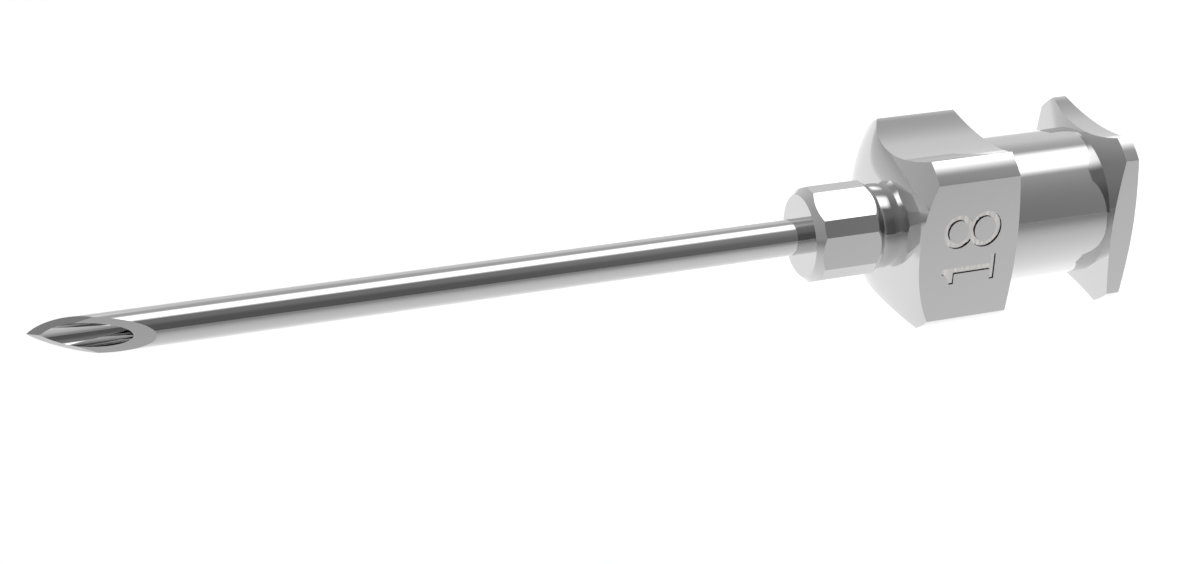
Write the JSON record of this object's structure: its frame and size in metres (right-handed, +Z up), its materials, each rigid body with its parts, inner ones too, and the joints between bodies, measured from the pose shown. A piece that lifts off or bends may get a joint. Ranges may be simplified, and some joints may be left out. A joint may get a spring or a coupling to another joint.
{
  "type": "dispensing needle tip",
  "caption": "All-metal luer lock dispensing tip: a turned and milled hub with a lock flange, and a steel tube ground to a three-facet point.",
  "frame": {"origin": "centre of the luer socket's mouth, on the hub's flat rear rim", "axes": "+X along the needle's axis, out of the socket's mouth; +Z up, through a scoop of the bar section; -Y out of the flat that carries the gauge number"},
  "size_m": [0.037, 0.0056, 0.0062],
  "materials": {
    "nickel_plated_brass": "polished nickel plating",
    "stainless_tube": "drawn and polished"
  },
  "bodies": {
    "root": {"hub": "nickel_plated_brass", "needle_tube": "stainless_tube"}
  },
  "joints": []
}
